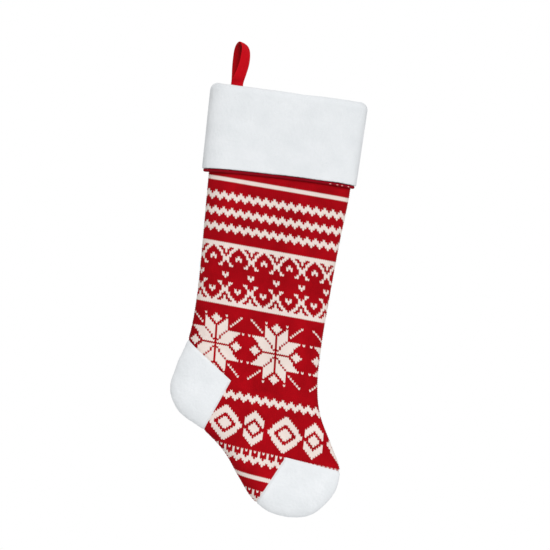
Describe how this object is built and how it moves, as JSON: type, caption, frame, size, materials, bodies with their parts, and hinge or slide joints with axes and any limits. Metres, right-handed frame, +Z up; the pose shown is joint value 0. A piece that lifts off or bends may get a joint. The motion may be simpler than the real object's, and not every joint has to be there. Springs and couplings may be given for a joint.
{
  "type": "hanging stocking",
  "caption": "Knitted holiday stocking with patterned leg, fleece heel, toe and folded cuff, hung from a sewn tape loop.",
  "frame": {"origin": "inside of the hanging loop's crown, where a hook bears", "axes": "+Z up as it hangs, front face towards -Y, toe towards +X; the plane of the sock is the XZ plane"},
  "size_m": [0.2305, 0.0312, 0.5613],
  "materials": {
    "patterned_knit": "matt acrylic jacquard knit in red with cream motifs",
    "white_fleece": "soft short-pile white fleece",
    "red_facing": "plain dark red knit",
    "lining": "thin off-white woven lining",
    "red_thread": "red sewing thread",
    "red_tape": "soft red fabric tape"
  },
  "bodies": {
    "loop": {"hanging_loop": "red_tape"},
    "stocking": {"knit_front": "patterned_knit", "knit_back": "patterned_knit", "heel_patch_front": "white_fleece", "heel_patch_back": "white_fleece", "toe_patch_front": "white_fleece", "toe_patch_back": "white_fleece", "cuff_front": "white_fleece", "cuff_back": "white_fleece", "cuff_facing_front": "red_facing", "cuff_facing_back": "red_facing", "lining_front": "lining", "lining_back": "lining", "edge_seam": "red_thread", "loop_tails": "red_tape", "loop_bartack": "red_thread"}
  },
  "joints": [
    {"name": "loop_fold", "type": "hinge", "parent": "loop", "child": "stocking", "pos_m": [-0.00411, 0, -0.04807], "axis": [0.992, 0, -0.1262], "range_deg": [-85, 85]}
  ]
}
